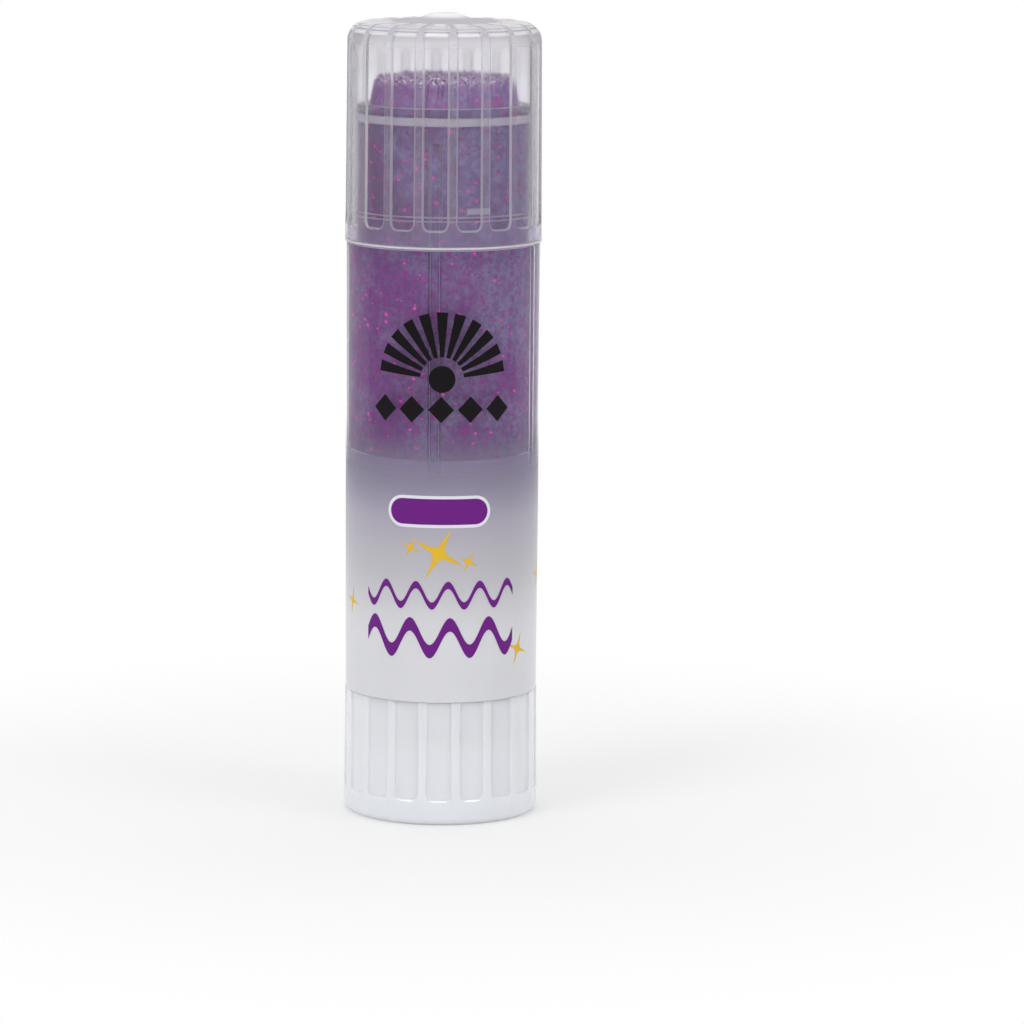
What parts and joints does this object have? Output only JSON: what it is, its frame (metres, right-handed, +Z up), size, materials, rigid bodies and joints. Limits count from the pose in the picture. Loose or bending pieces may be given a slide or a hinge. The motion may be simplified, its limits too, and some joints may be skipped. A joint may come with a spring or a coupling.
{
  "type": "glue stick",
  "caption": "Twist-up glue stick with glitter gel in a hazy barrel, a clear fluted pull-off cap and a white fluted base that winds the gel up.",
  "frame": {"origin": "centre of the base's standing ring, on the surface that the stick stands on", "axes": "+Z up along the stick's axis to the cap's top; -Y is the front, where the print is; +X is to the right seen from the front"},
  "size_m": [0.0252, 0.0252, 0.1029],
  "materials": {
    "barrel_plastic": "translucent moulded polypropylene",
    "label_film": "clear printed film, clear at the top and white at the foot",
    "white_plastic": "smooth moulded white polypropylene",
    "natural_plastic": "milky moulded polypropylene",
    "glitter_gel": "bluish violet gel with magenta and silver glitter",
    "cap_plastic": "clear moulded polypropylene"
  },
  "bodies": {
    "barrel": {"barrel": "barrel_plastic", "wrap_label": "label_film"},
    "cap": {"cap": "cap_plastic"},
    "base": {"twist_base": "white_plastic", "lead_screw": "white_plastic"},
    "carrier": {"carrier_cup": "natural_plastic", "gel_stick": "glitter_gel"}
  },
  "joints": [
    {"name": "cap_pull", "type": "slide", "parent": "barrel", "child": "cap", "axis": [0, 0, 1], "range_m": [0, 0.032]},
    {"name": "base_turn", "type": "hinge", "parent": "barrel", "child": "base", "pos_m": [0, 0, 0.0161], "axis": [0, 0, 1], "range_deg": [0, 4320]},
    {"name": "carrier_rise", "type": "slide", "parent": "barrel", "child": "carrier", "axis": [0, 0, 1], "range_m": [0, 0.036], "deforming": ["gel_stick"]}
  ],
  "couplings": [
    {"joint": "base_turn", "follows": "carrier_rise", "rad_per_m": 2094.4}
  ]
}
